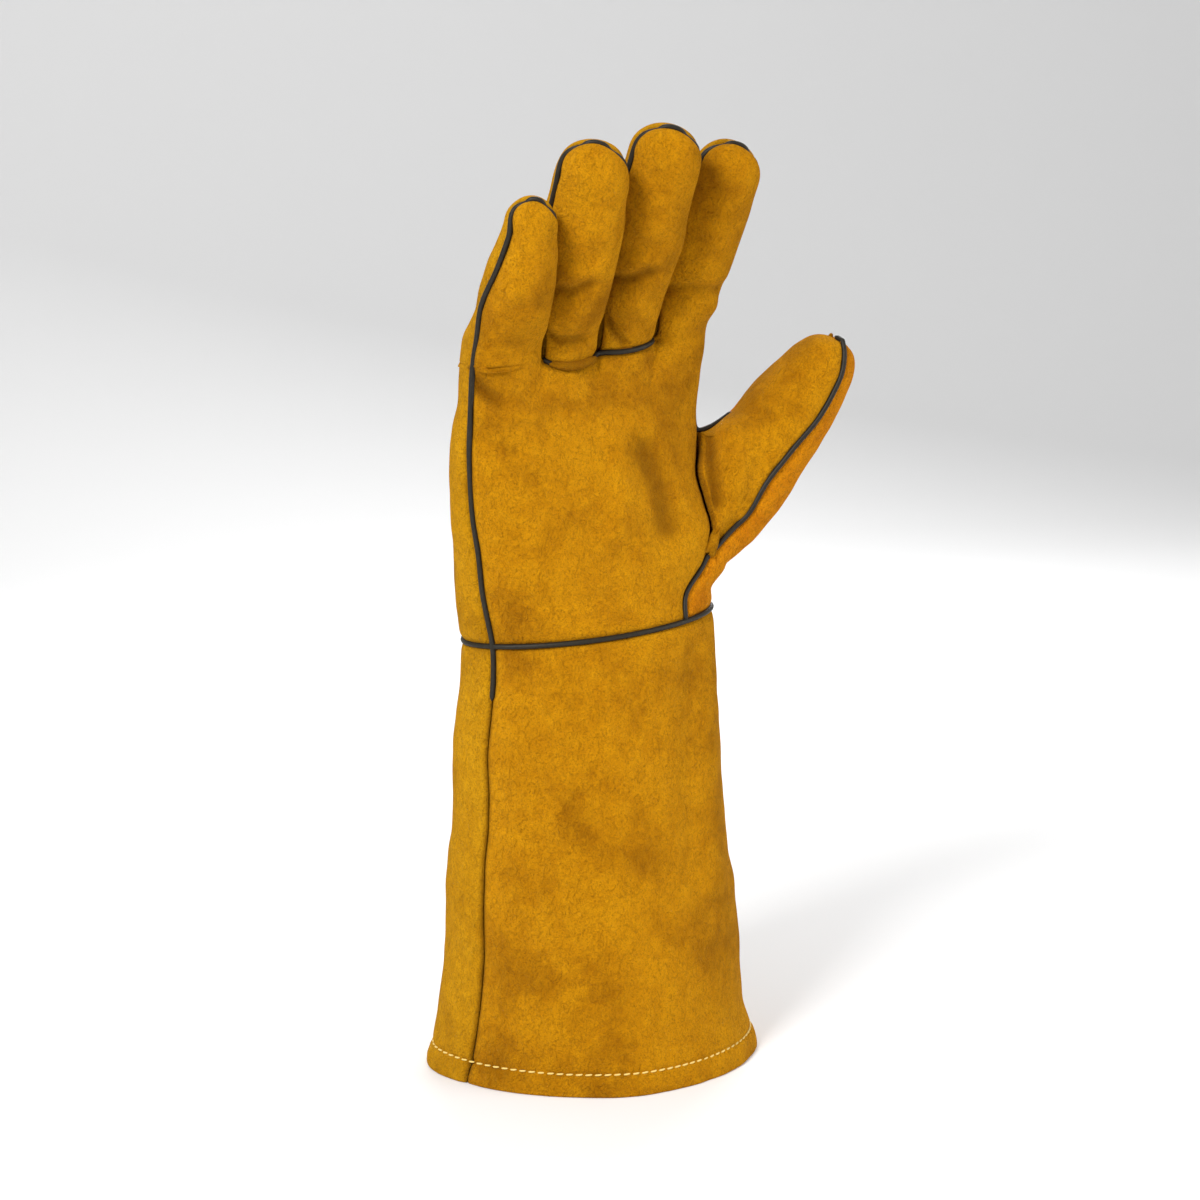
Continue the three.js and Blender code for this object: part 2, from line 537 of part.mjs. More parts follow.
// Welt: a rounded strip of leather standing in the seam
const WELT_SHAPE = [[-0.5, -1], [-0.5, 0.35], [-0.25, 1], [0.25, 1], [0.5, 0.35], [0.5, -1]];
function weltSolid({ line, closed, from = 0, to = 0 }) {
  const count = line.length;
  const position = [];
  const path = line.map((id) => points[id]);
  const last = count - 1;
  path[0] = add(path[0], unit(sub(path[1], path[0])), from);
  path[last] = add(path[last], unit(sub(path[last - 1], path[last])), to);
  line.forEach((id, k) => {
    const before = path[closed ? (k + last) % count : Math.max(k - 1, 0)];
    const after = path[closed ? (k + 1) % count : Math.min(k + 1, last)];
    const along = unit(sub(after, before));
    const facing = crotchPoints.includes(id)
      ? add(normals[line[Math.max(k - 1, 0)]], normals[line[Math.min(k + 1, last)]]) : normals[id];
    const out = unit(sub(facing, times(along, dot(facing, along))));
    const aside = cross(along, out);
    const lift = crotchPoints.includes(id) && k > 0 && k < last ? WELT_SINK + WELT_CLEAR : 0;
    WELT_SHAPE.forEach(([x, y]) => {
      const rise = lift + (y > 0 ? y * WELT_PROUD : y * WELT_SINK);
      position.push(add(add(path[k], aside, x * WELT_WIDTH), out, rise));
    });
  });
  const sides = WELT_SHAPE.length;
  const index = [];
  const ring = (k, s) => (k % count) * sides + (s % sides);
  for (let k = 0; k < (closed ? count : count - 1); k += 1) {
    for (let s = 0; s < sides; s += 1) {
      const [a, b, c, d] = [ring(k, s), ring(k, s + 1), ring(k + 1, s + 1), ring(k + 1, s)];
      index.push(a, b, c, a, c, d);
    }
  }
  if (!closed) {
    for (let s = 1; s + 1 < sides; s += 1) {
      index.push(ring(0, 0), ring(0, s + 1), ring(0, s));
      index.push(ring(count - 1, 0), ring(count - 1, s), ring(count - 1, s + 1));
    }
  }
  return { position, index };
}

// Solid bodies, each leather panel cut clear of whatever comes too close to it at the clefts
const { Manifold, Mesh } = await Module().then((kernel) => {
  kernel.setup();
  return kernel;
});
function body({ position, index }) {
  const mesh = new Mesh({
    numProp: 3, vertProperties: new Float32Array(position.flat()), triVerts: new Uint32Array(index) });
  mesh.merge();
  return new Manifold(mesh);
}
const DIRECTIONS = [[1, 0, 0], [0, 1, 0], [0, 0, 1], [1, 1, 1], [1, 1, -1], [1, -1, 1], [-1, 1, 1]]
  .flatMap((d) => [unit(d), times(unit(d), -1)]);
const grown = (solid) => Manifold.union(DIRECTIONS.map((d) => solid.translate(times(d, SEAM_CLEAR))));
const bodies = new Map();
panels.forEach((_, name) => bodies.set(name, body(panelSolid(name))));
Object.entries(WELTS).forEach(([name, welt]) => bodies.set(name, body(weltSolid(welt))));
const cutFrom = (name, tool) => bodies.set(name, bodies.get(name).subtract(tool));
['side_welt', 'finger_base_welt'].forEach((welt) => {
  const room = grown(bodies.get(welt));
  ['palm_panel', 'ring_finger_front', 'middle_finger_front'].forEach((name) => cutFrom(name, room));
});
crotches.slice(1, -1).forEach((foot) => {
  const slot = Manifold.cylinder(CLEFT_SLOT, CLEFT_RADIUS, CLEFT_RADIUS, 12)
    .translate(add(foot, [0, 0, 1], 1 - CLEFT_SLOT));
  ['palm_panel', 'back_panel'].forEach((name) => cutFrom(name, slot));
});

function addPiece(name, colour, roughness) {
  const { vertProperties, triVerts } = bodies.get(name).getMesh();
  const geometry = new THREE.BufferGeometry();
  geometry.setAttribute('position', new THREE.Float32BufferAttribute(vertProperties, 3));
  geometry.setIndex([...triVerts]);
  geometry.computeVertexNormals();
  const mesh = new THREE.Mesh(geometry, new THREE.MeshStandardMaterial({ color: colour, roughness, metalness: 0 }));
  mesh.name = name;
  mesh.material.name = name;
  group.add(mesh);
}

const LEATHER_COLOUR = { thumb_back: 0xd98410, cuff_back: 0xc9900f, back_panel: 0xc9900f };
panels.forEach((_, name) => addPiece(name, LEATHER_COLOUR[name] ?? 0xc0810c, 0.95));
Object.keys(WELTS).forEach((name) => addPiece(name, 0x1c1a16, 0.6));

export default group;
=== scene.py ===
import math
import bpy
import numpy as np
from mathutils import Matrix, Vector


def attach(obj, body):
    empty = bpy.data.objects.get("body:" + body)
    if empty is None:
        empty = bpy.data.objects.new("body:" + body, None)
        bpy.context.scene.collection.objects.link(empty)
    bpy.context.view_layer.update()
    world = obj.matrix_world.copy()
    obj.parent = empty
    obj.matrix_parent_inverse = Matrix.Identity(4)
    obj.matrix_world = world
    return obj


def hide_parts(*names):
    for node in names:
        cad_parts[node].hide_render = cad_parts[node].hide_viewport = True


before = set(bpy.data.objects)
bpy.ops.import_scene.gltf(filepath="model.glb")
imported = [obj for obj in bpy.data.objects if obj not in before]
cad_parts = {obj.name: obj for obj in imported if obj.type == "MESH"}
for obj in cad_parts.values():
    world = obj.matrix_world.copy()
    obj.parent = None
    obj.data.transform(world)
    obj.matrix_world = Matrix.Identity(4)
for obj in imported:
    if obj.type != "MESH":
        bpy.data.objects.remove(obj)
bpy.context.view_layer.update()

# The gauntlet's whole surface: one smooth skin of split leather, worked out in millimetres from the same
# cross-sections, knuckles, fingers and thumb as the solids, then cut into its sewn panels.
MM = 0.001
# z, centre x, little and thumb half-width, palm and back depth, corner exponent, turn, tilt, cup,
# angles of the side seam, the palm's thumb-side edge and the back panel's thumb-side edge
SECTION = np.array([
    [0, 1.0, 73, 72, 56, 56, 1.15, 0, 0, 0, -62, 43, 113],
    [9, 1.2, 71, 69, 54.5, 54.5, 1.15, 0, 0, 0, -62, 43, 113],
    [20, 1.2, 69, 65, 53, 53, 1.13, 0, 0, 0, -62, 43, 113],
    [36, 0.4, 66.5, 64, 51, 51, 1.12, 0, 0, 0, -61, 42, 113],
    [54, -0.2, 64, 63.5, 49, 49, 1.11, 0, 0, 0, -61, 42, 113],
    [72, -1.0, 63.5, 61.5, 47, 47, 1.1, 0, 0, 0, -61, 42, 113],
    [90, -2.0, 61.5, 59.5, 45, 45, 1.09, 0, 0.01, 0, -61, 41, 113],
    [107, -2.6, 59, 58, 43, 43, 1.08, 0, 0.02, 0, -61, 41, 113],
    [124, -3.6, 58, 57, 41.5, 41.5, 1.07, 1, 0.03, 0, -61, 40, 113],
    [141, -4.4, 57.5, 56.5, 40, 40, 1.06, 1, 0.05, 0, -61, 40, 113],
    [158, -4.6, 55.5, 55, 38, 38, 1.05, 2, 0.07, 0, -62, 39, 114],
    [174, -4.6, 54.5, 54.5, 36, 36, 1.05, 3, 0.09, 0, -62, 38, 114],
    [188, -4.8, 55, 55, 34, 35, 1.05, 4, 0.1, 0, -62, 38, 115],
    [199, -6.0, 56, 55, 32, 34, 1.04, 6, 0.09, 1, -64, 40, 115],
    [210, -7.5, 56.5, 64, 31, 33, 1.02, 8, 0.07, 2, -67, 46, 116],
    [224, -9.0, 56.5, 68, 30, 31, 1.0, 10, 0.05, 3, -70, 50, 117],
    [238, -10.5, 57, 66, 29, 30, 1.0, 11, 0.03, 4, -73, 50, 114],
    [252, -11.5, 58, 60, 27, 29, 1.0, 12, 0.02, 6, -74, 56, 104],
    [266, -12.0, 59.5, 57, 25, 28, 1.0, 13, 0.01, 8, -74, 77, 77],
    [276, -12.0, 60.5, 57, 23, 27, 1.0, 14, 0.01, 9, -74, 80, 80],
    [285, -11.8, 61, 58, 21, 26, 1.0, 14, 0.01, 10, -74, 84, 84],
    [292, -11.5, 61, 59, 20, 25, 1.0, 14, 0.01, 10, -74, 87, 87],
    [298, -11.0, 61, 60, 19, 24, 1.0, 14, 0.01, 10, -74, 90, 90]])
ROW_HEIGHT = np.array([188, 196, 204, 213, 224, 238, 252, 266, 276, 285, 293, 301.0])
WRIST_HEIGHT = ROW_HEIGHT[0]
TOP_ROW = len(ROW_HEIGHT) - 1
BLEND_FROM = 7
THUMB_FOOT = 3
THUMB_CROTCH = 7
FINGER_COLUMNS = 5
HAND_SPAN = 4 * FINGER_COLUMNS
# across the knuckles, forward of them, height
CROTCH = np.array([[-58.5, 15, 298], [-27, 16, 300], [0, 14, 302], [29, 11, 306], [58, 3, 306.0]])
KNUCKLE_TURN, KNUCKLE_CENTRE = math.radians(14), np.array([-11, 0, 0.0])
# length, tip, low, middle and tip half-width, root front, back and sag, middle and tip half-depth,
# lean at root and tip, curl at root and tip, roll, seam turn
FINGER = np.array([
    [68, 11, 15, 14, 10.5, 6, 25, 0, 13, 10, 0, -1, 10, 23, -30, 42],
    [88, 13, 13.2, 16, 14.5, 5.5, 37, 4.5, 12, 11, -3, -3, 8, 21, -32, 22],
    [92, 13, 13.2, 16, 14.5, 7, 35, 1.5, 12, 11, 1, 1, 8, 23, -30, 22],
    [83, 13, 13.5, 16, 14, 9, 23, 0, 12, 11, 4, 9, 8, 22, -24, 20.0]])
# Along a finger: where the low and middle widths lie as shares of its straight part, how fast the curl
# sets in, and the lengths in mm by which it has left the root line, squared up, rolled and turned its seams
LOW_AT = 0.2
MIDDLE_AT = 0.6
CURL_PACE = 1.6
LEFT_ROOT_BY = 16
SQUARE_BY = 22
ROLLED_BY = 28
SEAMS_TURNED_BY = 45
# Over a fingertip: share of the width kept at the very end, power of its outline, forward nod and crown
TIP_WIDTH_KEPT = 0.38
TIP_POWER = 2.4
TIP_FORWARD = 3
TIP_CROWN = 3.2
# row, centre x y z, half-width, depth to the front and back, reach of the front and back round from the seam
THUMB = np.array([
    [3, 48, -6, 214, 8, 6, 10, 90, 200], [4, 55, 4, 224, 12, 8, 14, 90, 200],
    [5, 61, 6, 236, 15, 12, 18, 90, 205], [6, 67, 8, 246.5, 17, 16, 20, 96, 220],
    [7, 72, 9, 255.5, 19, 18, 20, 106, 254], [8, 78, 9, 265, 19.5, 18.5, 20, 124, 236],
    [9, 84, 8, 273.5, 19, 18, 19, 142, 218], [10, 90, 6, 281.5, 17.5, 17, 17.5, 158, 202],
    [11, 95, 4, 289, 15.5, 15.5, 16, 172, 188], [12, 99, 2, 296, 13, 13, 13.5, 180, 180],
    [13, 101.5, 0, 302, 9, 9, 9, 180, 180], [14, 103, -1, 306, 4, 0, 0, 180, 180.0]])
THUMB_SEAM_TURN = math.radians(74)
THUMB_BLEND = 0.8
THUMB_AXIS_REACH = 0.6
THUMB_TOP = THUMB[-1, 0]


def smooth(t):
    """Rises from 0 to 1 with no slope at either end."""
    t = np.clip(t, 0, 1)
    return t * t * (3 - 2 * t)


def unit(v):
    return v / np.maximum(np.linalg.norm(v, axis=-1, keepdims=True), 1e-9)


def mix(a, b, k):
    k = np.asarray(k)[..., None]
    return a * (1 - k) + b * k


def through(table, at):
    """Cubic through every column of a table at any value of its first column, with slopes taken
    across the rows on both sides."""
    key, last = table[:, 0], len(table) - 1
    at = np.asarray(at, float)
    i = np.clip(np.searchsorted(key, at, side="left") - 1, 0, last - 1)
    before, after = np.maximum(np.arange(last + 1) - 1, 0), np.minimum(np.arange(last + 1) + 1, last)
    slope = (table[after] - table[before]) / (key[after] - key[before])[:, None]
    width = (key[i + 1] - key[i])[..., None]
    t = (at - key[i])[..., None] / width
    return (table[i] * (1 - t) ** 2 * (1 + 2 * t) + table[i + 1] * t * t * (3 - 2 * t)
            + slope[i] * width * t * (1 - t) ** 2 - slope[i + 1] * width * t * t * (1 - t))


def on_section(s, z, angle):
    """Point of a section: signed powers of sine and cosine scaled by the side's half-width and
    the face's depth, cupped forward by sine squared, then turned about Z and tilted."""
    side, face = np.sin(np.radians(angle)), np.cos(np.radians(angle))
    power = s[..., 6]
    across = np.where(side < 0, s[..., 2], s[..., 3]) * np.sign(side) * np.abs(side) ** power
    cup = np.where(side < 0, s[..., 9], 0) * side * side
    forward = np.where(face > 0, s[..., 4], s[..., 5]) * np.sign(face) * np.abs(face) ** power + cup
    c, n = np.cos(np.radians(s[..., 7])), np.sin(np.radians(s[..., 7]))
    return np.stack([s[..., 1] + across * c + forward * n, across * n - forward * c,
                     z + s[..., 8] * across], -1)


ACROSS = np.array([math.cos(KNUCKLE_TURN), math.sin(KNUCKLE_TURN), 0])
FORWARD = np.array([math.sin(KNUCKLE_TURN), -math.cos(KNUCKLE_TURN), 0])
CLEFTS = (KNUCKLE_CENTRE + CROTCH[:, :1] * ACROSS + CROTCH[:, 1:2] * FORWARD
          + CROTCH[:, 2:] * np.array([0, 0, 1]))
TOP = through(SECTION, ROW_HEIGHT[-1])
cleft_share = CROTCH[:, 0] / np.where(CROTCH[:, 0] < 0, TOP[2], TOP[3])
CLEFT_ANGLE = np.degrees(np.arcsin(np.clip(cleft_share, -1, 1)))
CLEFT_ANGLE[0], CLEFT_ANGLE[-1] = TOP[10], TOP[11]


def root_arc(k, back, t):
    """Root line of finger k: half an ellipse from one cleft to the next, bulging to the palm or the back."""
    k = np.asarray(k)
    low, high = CLEFTS[k], CLEFTS[k + 1]
    first, second = (high, low) if back else (low, high)
    out = unit(np.cross(second - first, [0, 0, 1]))
    depth = FINGER[k, 6 if back else 5]
    angle = 0.5 * (np.pi * t + np.arccos(np.clip(1 - 2 * t, -1, 1)))
    sag = 0 if back else FINGER[k, 7] * np.sin(np.pi * t)
    place = (first + second) / 2 - (second - first) / 2 * np.cos(angle)[..., None]
    return place + out * (depth * np.sin(angle))[..., None] - np.array([0, 0, 1]) * np.asarray(sag)[..., None]


def spread(j):
    """Finger and place within it of a column, and the column's share of the way round the panel: even
    steps of angle between the clefts."""
    k = np.minimum(np.floor(j / FINGER_COLUMNS), 3).astype(int)
    t = j / FINGER_COLUMNS - k
    angle = CLEFT_ANGLE[k] + (CLEFT_ANGLE[k + 1] - CLEFT_ANGLE[k]) * t
    return k, t, (angle - TOP[10]) / (TOP[11] - TOP[10])


def hand(row, column, back):
    """Hand between the wrist and the finger roots. Columns count five to a finger; rows above the
    seventh melt from the plain section into the four root arcs."""
    row, column = np.broadcast_arrays(np.asarray(row, float), np.asarray(column, float))
    z = np.interp(row, np.arange(TOP_ROW + 1), ROW_HEIGHT)
    s = through(SECTION, z)
    j = HAND_SPAN - column if back else column
    k, t, share = spread(j)
    first, second = (s[..., 12], s[..., 10] + 360) if back else (s[..., 10], s[..., 11])
    angle = second - (second - first) * share if back else first + (second - first) * share
    inside = smooth(np.minimum(j, HAND_SPAN - j) / FINGER_COLUMNS)
    melt = np.clip((row - BLEND_FROM) / (TOP_ROW - BLEND_FROM), 0, 1)
    weight = (0.5 * melt + 0.5 * smooth(melt)) ** (1 if back else 1 + 0.7 * inside)
    return mix(on_section(s, z, angle), root_arc(k, back, 1 - t if back else t), weight)


def cuff(z, column, part):
    """Cuff below the wrist in the same columns: 'palm', 'thumb' or 'back' stretch of the section."""
    s = through(SECTION, z)
    if part == "thumb":
        return on_section(s, z, s[..., 11] + (s[..., 12] - s[..., 11]) * column)
    share = spread(HAND_SPAN - column if part == "back" else column)[2]
    if part == "back":
        return on_section(s, z, s[..., 10] + 360 - (s[..., 10] + 360 - s[..., 12]) * share)
    return on_section(s, z, s[..., 10] + (s[..., 11] - s[..., 10]) * share)


def finger(k, rows, columns, back):
    """Finger k as a swept oval: the spine leans and curls forward, the oval rolls with it, its width and
    depth follow the table, and the last stretch closes to the seam line over the tip."""
    (length, tip, low, middle, end_width, root_front, root_back, _, mid_depth, tip_depth,
     lean0, lean1, curl0, curl1, roll, seam_turn) = FINGER[k]
    straight = length - tip
    body = straight * np.linspace(0, 1, rows + 1)
    along = np.concatenate([body, straight + tip * np.sin(np.linspace(0, np.pi / 2, 9))[1:]])
    t = along / length
    lean = np.radians(lean0 + (lean1 - lean0) * t)
    curl = np.radians(curl0 + (curl1 - curl0) * smooth(t * CURL_PACE))
    axis = unit(np.cos(curl)[:, None] * np.cos(lean)[:, None] * np.array([0, 0, 1])
                + np.sin(lean)[:, None] * ACROSS + np.sin(curl)[:, None] * FORWARD)
    place = (CLEFTS[k] + CLEFTS[k + 1]) / 2 + np.cumsum(axis * np.diff(along, prepend=0)[:, None], axis=0)
    turned = np.radians(roll * smooth(along / ROLLED_BY))[:, None]
    flat = unit(ACROSS - axis * (axis @ ACROSS)[:, None])
    over = flat * np.cos(turned) - np.cross(flat, axis) * np.sin(turned)
    half = (CLEFTS[k + 1] - CLEFTS[k]) / 2
    side = unit(mix(np.broadcast_to(unit(half), over.shape), over, smooth(along / SQUARE_BY)))
    end = np.clip((along - straight) / tip, 0, 1)
    done = np.minimum(along / straight, 1)
    widths = np.array([[0, np.linalg.norm(half)], [LOW_AT, low], [MIDDLE_AT, middle], [1, end_width]])
    kept = TIP_WIDTH_KEPT + (1 - TIP_WIDTH_KEPT) * np.sqrt(1 - end ** TIP_POWER)
    width = through(widths, done)[:, 1] * kept

    def half_depth(root):
        low_part = root + (mid_depth - root) * smooth(done * 2)
        high_part = mid_depth + (tip_depth - mid_depth) * smooth(done * 2 - 1)
        return (np.where(done < 0.5, low_part, high_part) * np.sqrt(1 - end * end))[:, None]

    u = np.linspace(0, 1, columns + 1)[None, :]
    seam = np.radians(seam_turn * smooth(along / SEAMS_TURNED_BY) * (1 - end))[:, None]
    angle = seam + np.pi * (u + 1 if back else u)
    depth = np.where(np.sin(angle) > 0, half_depth(root_front), half_depth(root_back))
    face = np.cross(side, axis)[:, None, :]
    surface = (place[:, None] - side[:, None] * (width[:, None] * np.cos(angle))[..., None]
               + face * (depth * np.sin(angle) + TIP_FORWARD * end[:, None] ** 2)[..., None]
               + axis[:, None] * (TIP_CROWN * end[:, None] ** 2 * np.sin(np.pi * u))[..., None])
    root_line = root_arc(k, back, u[0]) + (place - place[0])[:, None]
    return mix(root_line, surface, np.broadcast_to(smooth(along / LEFT_ROOT_BY)[:, None], surface.shape[:2]))


def on_thumb(row, degrees):
    """Point round the thumb's oval at a row; degrees count from the outer seam."""
    key = through(THUMB, row)
    ahead = through(THUMB, np.minimum(row + THUMB_AXIS_REACH, THUMB_TOP))
    behind = through(THUMB, np.maximum(row - THUMB_AXIS_REACH, THUMB_FOOT))
    axis = unit(ahead[..., 1:4] - behind[..., 1:4])
    right = unit(np.array([1, 0, 0]) - axis * axis[..., :1])
    reach = right * math.cos(THUMB_SEAM_TURN) + np.cross(right, axis) * math.sin(THUMB_SEAM_TURN)
    out = np.cross(reach, axis)
    rise, run = np.sin(np.radians(degrees)), np.cos(np.radians(degrees))
    deep = np.maximum(np.where(rise > 0, key[..., 5], key[..., 6]), 0) * rise
    return key[..., 1:4] + reach * (key[..., 4] * run)[..., None] + out * deep[..., None]


def thumb(row, t, back):
    """Thumb front or back: its oval, eased at each edge onto the palm's edge, the back panel's edge
    or the outer seam, and melting into the wrist below its foot."""
    row, t = np.broadcast_arrays(np.asarray(row, float), np.asarray(t, float))
    low_row, high_row = np.minimum(row, THUMB_CROTCH), np.maximum(row, THUMB_FOOT)
    key = through(THUMB, high_row)
    begin, stop = (0 * row, -key[..., 8]) if back else (key[..., 7], 0 * row)
    palm_edge = hand(np.minimum(row, THUMB_FOOT), HAND_SPAN + 0 * row, False)
    outer = mix(palm_edge, on_thumb(high_row, 0 * row), np.clip(row - THUMB_FOOT, 0, 1))
    edge = hand(low_row, 0 * row, True) if back else hand(low_row, HAND_SPAN + 0 * row, False)
    inner = mix(edge, on_thumb(high_row, stop if back else begin), smooth(row - THUMB_CROTCH))
    first, second = (outer, inner) if back else (inner, outer)
    place = on_thumb(high_row, begin + (stop - begin) * t)
    place = place + (first - on_thumb(high_row, begin)) * smooth(1 - t / THUMB_BLEND)[..., None]
    place = place + (second - on_thumb(high_row, stop)) * smooth(1 - (1 - t) / THUMB_BLEND)[..., None]
    if not back:
        return mix(palm_edge, place, np.clip(row - THUMB_FOOT, 0, 1))
    z = np.interp(np.minimum(row, TOP_ROW), np.arange(TOP_ROW + 1), ROW_HEIGHT)
    s = through(SECTION, z)
    low = on_section(s, z, s[..., 11] + (s[..., 12] - s[..., 11]) * t)
    return mix(low, place, np.clip(row / (THUMB_FOOT + 1), 0, 1))


# Fineness of the grids: steps to a column, steps to a row, rows of a finger's straight part
FINE = 4
ROW_STEPS = 8
FINGER_ROWS = 44
HEM_BAND = 12
HAND_ROWS = np.linspace(0, TOP_ROW, TOP_ROW * ROW_STEPS + 1)[:, None]
HAND_COLUMNS = np.linspace(0, HAND_SPAN, HAND_SPAN * FINE + 1)[None, :]
CUFF_ROWS = np.concatenate([np.linspace(0, HEM_BAND, 17),
                            np.linspace(HEM_BAND, WRIST_HEIGHT, 76)[1:]])[:, None]
THUMB_ROWS = np.linspace(THUMB_FOOT, THUMB_TOP, int(THUMB_TOP - THUMB_FOOT) * ROW_STEPS + 1)[:, None]
THUMB_BACK_ROWS = np.concatenate([np.linspace(0, THUMB_FOOT, THUMB_FOOT * ROW_STEPS + 1)[:-1],
                                  THUMB_ROWS[:, 0]])[:, None]
AROUND = np.linspace(0, 1, 6 * FINE + 1)[None, :]
PARTS = {
    "cuff_palm": cuff(*np.broadcast_arrays(CUFF_ROWS, HAND_COLUMNS), "palm"),
    "cuff_thumb": cuff(*np.broadcast_arrays(CUFF_ROWS, AROUND), "thumb"),
    "cuff_back": cuff(*np.broadcast_arrays(CUFF_ROWS, HAND_COLUMNS), "back"),
    "palm": hand(HAND_ROWS, HAND_COLUMNS, False),
    "back": hand(HAND_ROWS, HAND_COLUMNS, True),
    "thumb_front": thumb(THUMB_ROWS, AROUND, False),
    "thumb_back": thumb(THUMB_BACK_ROWS, AROUND, True),
}
for k in range(4):
    PARTS[f"front_{k}"] = finger(k, FINGER_ROWS, FINGER_COLUMNS * FINE, False)
    PARTS[f"rear_{k}"] = finger(k, FINGER_ROWS, FINGER_COLUMNS * FINE, True)
PANELS = {
    "cuff_front": ["cuff_palm", "cuff_thumb"], "cuff_back": ["cuff_back"],
    "palm_panel": ["palm", "front_0", "front_3"], "ring_finger_front": ["front_1"],
    "middle_finger_front": ["front_2"], "back_panel": ["back", "rear_0", "rear_1", "rear_2", "rear_3"],
    "thumb_front": ["thumb_front"], "thumb_back": ["thumb_back"],
}


def joined(grids):
    """Vertices and faces of several grids, with points closer than a hundredth of a millimetre
    joined and collapsed faces left out."""
    points, quads, first = [], [], 0
    for g in grids:
        n, m = g.shape[:2]
        ids = first + np.arange(n * m).reshape(n, m)
        quads.append(np.stack([ids[:-1, :-1], ids[:-1, 1:], ids[1:, 1:], ids[1:, :-1]], -1).reshape(-1, 4))
        points.append(g.reshape(-1, 3))
        first += n * m
    points, quads = np.concatenate(points), np.concatenate(quads)
    _, keep, back = np.unique(np.round(points, 2), axis=0, return_index=True, return_inverse=True)
    return points[keep], back.reshape(-1)[quads]


def vertex_normals(points, quads):
    """Area-weighted normals from the two diagonals of each face."""
    area = np.cross(points[quads[:, 2]] - points[quads[:, 0]], points[quads[:, 3]] - points[quads[:, 1]])
    total = np.zeros_like(points)
    for c in range(4):
        np.add.at(total, quads[:, c], area)
    return unit(total)


skin_points, skin_quads = joined(list(PARTS.values()))
skin_normals = vertex_normals(skin_points, skin_quads)


# The relief of the leather: folds and dents pressed into the palm and fingers, each a row of the table in
# the plane seen from the palm side (across to the right and up, in millimetres), a puffed body, soft
# rolling waves, edges that roll down into the seams, and the turned hem with its stitched groove.
VIEW_ACROSS, VIEW_TOWARD = np.array([0.951, -0.309, 0]), np.array([-0.309, -0.951, 0])
# piece, rise, half-width, then three points of the line (across, up)
FOLDS = [
    ("ring_finger_front", -4.2, 2.6, (-24.5, 311), (-17.5, 307.5), (-8.5, 308)),
    ("ring_finger_front", 2.6, 5.0, (-22, 318), (-16, 317), (-9, 317)),
    ("ring_finger_front", -3.4, 3.0, (-6.0, 330), (-13.9, 327), (-21, 328)),
    ("ring_finger_front", -1.6, 3.5, (-2, 342), (-10, 339), (-17, 340)),
    ("middle_finger_front", -4.0, 3.0, (-3, 332), (7.9, 331), (18.5, 334)),
    ("middle_finger_front", -3.8, 2.6, (-2, 319), (3, 312), (9, 305)),
    ("middle_finger_front", 2.6, 5.0, (6, 322), (11, 320), (17, 317)),
    ("middle_finger_front", -1.5, 3.5, (22, 346), (14, 344), (6, 345)),
    ("palm_panel", -2.8, 3.0, (21, 326.5), (34, 327), (48, 326)),
    ("palm_panel", 1.8, 5.0, (24, 319), (34, 318), (44, 318)),
    ("palm_panel", -1.3, 3.2, (44, 310), (34.5, 306), (24, 308)),
    ("palm_panel", -1.2, 4.0, (-44, 323), (-34, 321), (-25, 323.5)),
    ("palm_panel", -4.6, 4.2, (-53, 295), (-47.4, 288.6), (-41, 282)),
    ("palm_panel", 2.4, 4.5, (-47, 280.5), (-37.6, 279), (-28, 278)),
    ("palm_panel", -1.8, 5.0, (-46, 268.5), (-41.4, 266), (-36, 264.5)),
    ("palm_panel", 2.2, 5.0, (7, 266), (7.7, 248), (6.8, 230)),
    ("palm_panel", -4.0, 6.5, (18, 262), (24.3, 246), (28, 230)),
    ("palm_panel", -1.3, 1.8, (26, 276), (31.1, 273.8), (36, 272.7)),
    ("palm_panel", -1.0, 2.2, (-20, 290), (-8, 292), (6, 291)),
    ("palm_panel", -0.9, 2.5, (12, 294), (22, 297), (34, 296)),
    ("thumb_front", -4.4, 4.4, (42.6, 271), (45, 256), (48.6, 238)),
    ("thumb_front", 2.0, 5.0, (54, 268), (57, 256), (57, 244)),
    ("thumb_front", -0.9, 3.0, (66, 276), (72, 270), (76, 262)),
    ("cuff_front", 2.2, 5.0, (46.8, 178), (46.5, 139), (50, 80)),
    ("cuff_front", -1.2, 5.0, (38, 176), (37, 139), (38, 90)),
    ("cuff_front", -0.9, 7.0, (-30, 170), (-22, 120), (-28, 60)),
    ("cuff_front", 0.9, 9.0, (5, 160), (10, 110), (4, 50)),
    ("palm_panel", -1.0, 2.6, (-50, 205), (-20, 202), (10, 204)),
]
# Hem: rise, middle and half-height of its swelling, then height, depth and half-width of the stitched groove
HEM_SWELL = 0.7
HEM_MIDDLE = 4.0
HEM_HALF = 5.0
STITCH_HEIGHT = 9.2
GROOVE_DEPTH = 0.8
GROOVE_HALF = 1.0
# Leather between seams: puff and how far in it is full; dip into a welted and a plain seam, its reach,
# and the height where the side seam turns plain
PUFF = 0.7
PUFF_REACH = 8
WELT_DIP = 1.5
PLAIN_DIP = 0.8
DIP_REACH = 2.0
PLAIN_BELOW = 165
# Wavelengths of the rolling leather, and how high it stands on the cuff and on the hand
LONG_WAVE = 34
SHORT_WAVE = 13
HEM_WAVE = 5
CUFF_WAVE_RISE = 0.35
HAND_WAVE_MORE = 0.25
SHORT_WAVE_RISE = 0.25


